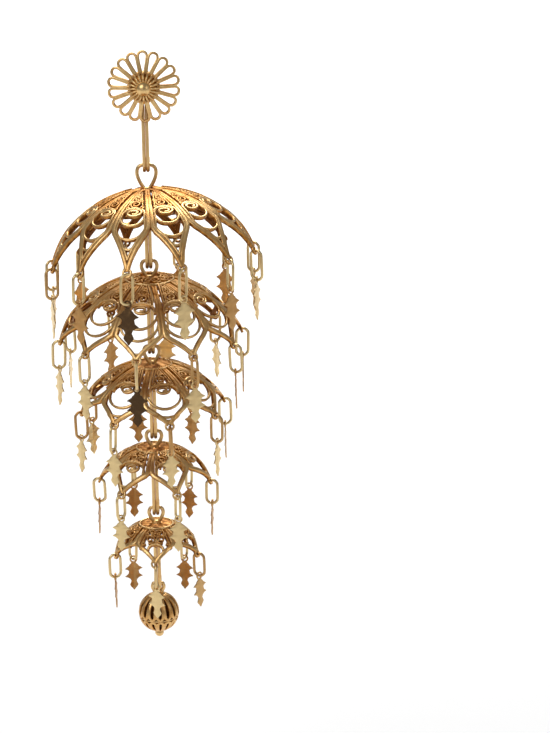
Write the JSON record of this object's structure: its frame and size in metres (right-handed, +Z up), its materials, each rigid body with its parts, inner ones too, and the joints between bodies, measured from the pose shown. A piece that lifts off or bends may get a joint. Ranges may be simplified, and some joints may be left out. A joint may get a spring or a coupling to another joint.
{
  "type": "chandelier earring",
  "caption": "Gilt filigree ear drop: wirework rosette on a post, a strip hook, nested openwork domes fringed with leaf pendants on oval links, and a wirework ball.",
  "frame": {"origin": "where the ear post enters the ear lobe, in the plane of the lobe's front", "axes": "+X to the earring's right as seen from the front, +Y back through the lobe, +Z up along the hanging drop"},
  "size_m": [0.0401, 0.0401, 0.1127],
  "materials": {
    "gilt_wire": "yellow gilt filigree wire, satin, with brown tarnish in the recesses",
    "gilt_leaf": "pale gilt sheet and drawn link wire, soft satin",
    "gilt_post": "plain polished gilt pin"
  },
  "bodies": {
    "ear_part": {"ear_post": "gilt_post", "ear_rosette": "gilt_wire", "hanger_bar": "gilt_wire"},
    "tier_1": {"tier_1_dome": "gilt_wire", "tier_1_pendant_01": "gilt_leaf", "tier_1_pendant_02": "gilt_leaf", "tier_1_pendant_03": "gilt_leaf", "tier_1_pendant_04": "gilt_leaf", "tier_1_pendant_05": "gilt_leaf", "tier_1_pendant_06": "gilt_leaf", "tier_1_pendant_07": "gilt_leaf", "tier_1_pendant_08": "gilt_leaf", "tier_1_pendant_09": "gilt_leaf", "tier_1_pendant_10": "gilt_leaf", "tier_1_pendant_11": "gilt_leaf", "tier_1_pendant_12": "gilt_leaf"},
    "tier_2": {"tier_2_dome": "gilt_wire", "tier_2_pendant_01": "gilt_leaf", "tier_2_pendant_02": "gilt_leaf", "tier_2_pendant_03": "gilt_leaf", "tier_2_pendant_04": "gilt_leaf", "tier_2_pendant_05": "gilt_leaf", "tier_2_pendant_06": "gilt_leaf", "tier_2_pendant_07": "gilt_leaf", "tier_2_pendant_08": "gilt_leaf", "tier_2_pendant_09": "gilt_leaf", "tier_2_pendant_10": "gilt_leaf"},
    "tier_3": {"tier_3_dome": "gilt_wire", "tier_3_pendant_01": "gilt_leaf", "tier_3_pendant_02": "gilt_leaf", "tier_3_pendant_03": "gilt_leaf", "tier_3_pendant_04": "gilt_leaf", "tier_3_pendant_05": "gilt_leaf", "tier_3_pendant_06": "gilt_leaf", "tier_3_pendant_07": "gilt_leaf", "tier_3_pendant_08": "gilt_leaf"},
    "tier_4": {"tier_4_dome": "gilt_wire", "tier_4_pendant_01": "gilt_leaf", "tier_4_pendant_02": "gilt_leaf", "tier_4_pendant_03": "gilt_leaf", "tier_4_pendant_04": "gilt_leaf", "tier_4_pendant_05": "gilt_leaf", "tier_4_pendant_06": "gilt_leaf"},
    "tier_5": {"tier_5_dome": "gilt_wire", "tier_5_pendant_01": "gilt_leaf", "tier_5_pendant_02": "gilt_leaf", "tier_5_pendant_03": "gilt_leaf", "tier_5_pendant_04": "gilt_leaf", "tier_5_pendant_05": "gilt_leaf"},
    "ball": {"filigree_ball": "gilt_wire"}
  },
  "joints": [
    {"name": "drop_swing", "type": "hinge", "parent": "ear_part", "child": "tier_1", "pos_m": [0, 0, -0.01465], "axis": [1, 0, 0], "range_deg": [-40, 40]},
    {"name": "tier_2_swing", "type": "hinge", "parent": "tier_1", "child": "tier_2", "pos_m": [0, 0, -0.03255], "axis": [1, 0, 0], "range_deg": [-6, 6]},
    {"name": "tier_3_swing", "type": "hinge", "parent": "tier_2", "child": "tier_3", "pos_m": [0, 0, -0.0488], "axis": [1, 0, 0], "range_deg": [-6, 6]},
    {"name": "tier_4_swing", "type": "hinge", "parent": "tier_3", "child": "tier_4", "pos_m": [0, 0, -0.0652], "axis": [1, 0, 0], "range_deg": [-6, 6]},
    {"name": "tier_5_swing", "type": "hinge", "parent": "tier_4", "child": "tier_5", "pos_m": [0, 0, -0.0803], "axis": [1, 0, 0], "range_deg": [-6, 6]},
    {"name": "ball_swing", "type": "hinge", "parent": "tier_5", "child": "ball", "pos_m": [0, 0, -0.0954], "axis": [1, 0, 0], "range_deg": [-20, 20]}
  ]
}
